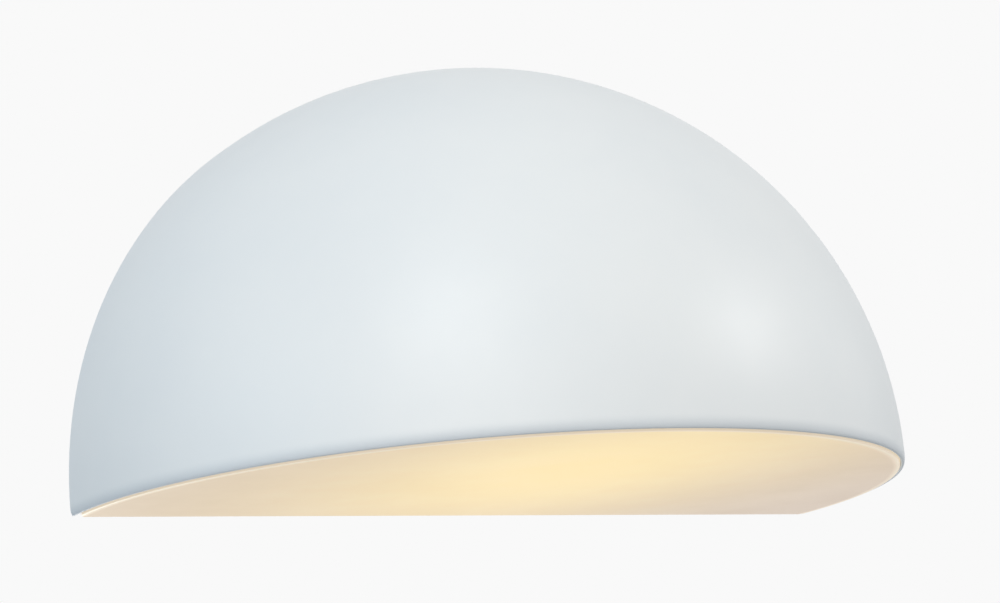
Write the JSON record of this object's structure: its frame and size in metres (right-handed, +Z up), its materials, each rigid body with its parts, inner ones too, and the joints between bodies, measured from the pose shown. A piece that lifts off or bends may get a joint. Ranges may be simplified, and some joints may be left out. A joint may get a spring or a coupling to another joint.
{
  "type": "wall light",
  "caption": "Half-dome wall light that shines down: pressed steel quarter-sphere shade over a flat opal diffuser, sliding onto a back plate with a screw-in lamp holder.",
  "frame": {"origin": "on the wall, midway between the centres of the two fixing slots in the back plate, 75 mm above the plane of the opening", "axes": "+X to the right as seen from the room, +Y into the wall, +Z up; the wall is the plane y = 0 and the light stands out along -Y"},
  "size_m": [0.29, 0.152, 0.1555],
  "materials": {
    "shade_white": "satin white powder coat on pressed steel",
    "plate_white": "satin white paint on pressed steel",
    "opal": "moulded opal acrylic, satin face, lit warm from above",
    "zinc": "bright zinc-plated steel",
    "brass": "pressed and turned brass, plain",
    "porcelain": null,
    "polyamide": "natural white polyamide",
    "rubber": "black moulded rubber",
    "brown_insulation": "brown wire insulation",
    "blue_insulation": "blue wire insulation",
    "green_yellow_insulation": "green and yellow striped wire insulation",
    "copper": "bare copper",
    "nickel": "nickel-plated rolled brass",
    "black_glass": "black insulating glass",
    "clear_glass": "clear blown glass",
    "circuit_board": "green circuit board",
    "phosphor": "yellow phosphor over an LED strip"
  },
  "bodies": {
    "wall_side": {"back_plate": "plate_white", "cable_grommet": "rubber", "lock_nut": "zinc", "terminal_block": "polyamide", "terminal_tubes": "brass", "terminal_screws": "zinc", "terminal_block_screws": "zinc", "holder_bracket": "zinc", "bracket_rivets": "zinc", "holder_body": "porcelain", "holder_fixing_screws": "zinc", "holder_fixing_nuts": "zinc", "holder_shell": "brass", "holder_contact": "brass", "holder_terminals": "brass", "holder_terminal_screws": "zinc", "earth_screw": "zinc", "earth_washer": "zinc", "earth_tag": "brass", "live_wire": "brown_insulation", "neutral_wire": "blue_insulation", "earth_wire": "green_yellow_insulation", "bare_ends": "copper"},
    "shade_unit": {"shade": "shade_white", "diffuser": "opal", "clip_studs": "zinc", "diffuser_clips": "zinc", "clip_nuts": "zinc"},
    "screw_washer": {"lock_washer": "nickel"},
    "screw": {"lock_screw": "nickel"},
    "lamp_tip": {"lamp_contact": "zinc", "lamp_insulator": "black_glass"},
    "lamp": {"lamp_cap": "nickel", "lamp_driver": "circuit_board", "lamp_globe": "clear_glass", "lamp_stem": "clear_glass", "lamp_leads": "nickel", "lamp_filaments": "phosphor"}
  },
  "joints": [
    {"name": "shade_slide", "type": "slide", "parent": "wall_side", "child": "shade_unit", "axis": [0, -1, 0], "range_m": [0, 0.17]},
    {"name": "lock_screw_lift", "type": "slide", "parent": "wall_side", "child": "screw_washer", "axis": [0, 0, 1], "range_m": [0, 0.0028]},
    {"name": "lock_screw_turn", "type": "hinge", "parent": "screw_washer", "child": "screw", "pos_m": [0, -0.006, 0.076], "axis": [0, 0, 1], "range_deg": [0, 1440]},
    {"name": "lamp_out", "type": "slide", "parent": "wall_side", "child": "lamp_tip", "axis": [0, -1, 0], "range_m": [0, 0.02172]},
    {"name": "lamp_turn", "type": "hinge", "parent": "lamp_tip", "child": "lamp", "pos_m": [0, -0.05, -0.018], "axis": [0, -1, 0], "range_deg": [0, 2160]}
  ],
  "couplings": [
    {"joint": "lock_screw_turn", "follows": "lock_screw_lift", "rad_per_m": 8976},
    {"joint": "lamp_turn", "follows": "lamp_out", "rad_per_m": 1735.7}
  ]
}
